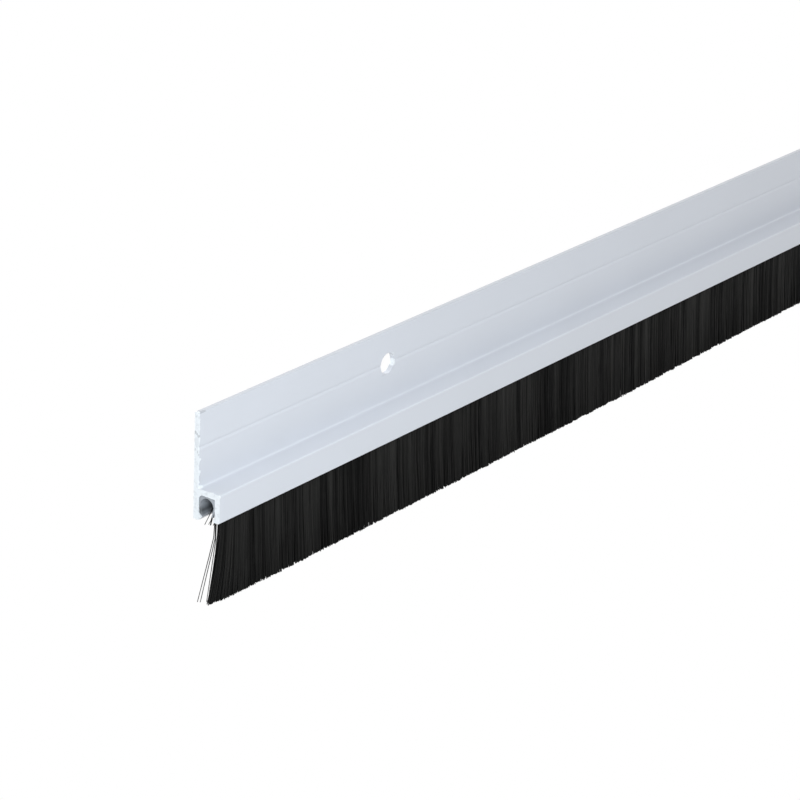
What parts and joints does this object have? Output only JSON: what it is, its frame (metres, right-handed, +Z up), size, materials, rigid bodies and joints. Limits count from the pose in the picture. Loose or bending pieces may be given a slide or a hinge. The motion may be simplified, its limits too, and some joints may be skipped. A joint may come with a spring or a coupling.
{
  "type": "door brush seal",
  "caption": "White aluminium strip that screws to the foot of a door, with a folded black bristle brush held in a channel along its lower edge.",
  "frame": {"origin": "on the back face, halfway along the strip, on the line of screw holes", "axes": "+X along the strip, +Y out of the back face towards the door, +Z up, so the front faces -Y and the brush hangs down"},
  "size_m": [1.0057, 0.0074, 0.0456],
  "materials": {
    "carrier": "white powder coat on aluminium, satin, with bare saw-cut ends",
    "backing_steel": "galvanised folded strip, dull",
    "wire_steel": "drawn wire, dull",
    "bristle": "black filament with a slight sheen"
  },
  "bodies": {
    "root": {"carrier": "carrier", "brush_backing": "backing_steel", "core_wire": "wire_steel", "bristle_pile": "bristle", "loose_bristles": "bristle"}
  },
  "joints": []
}
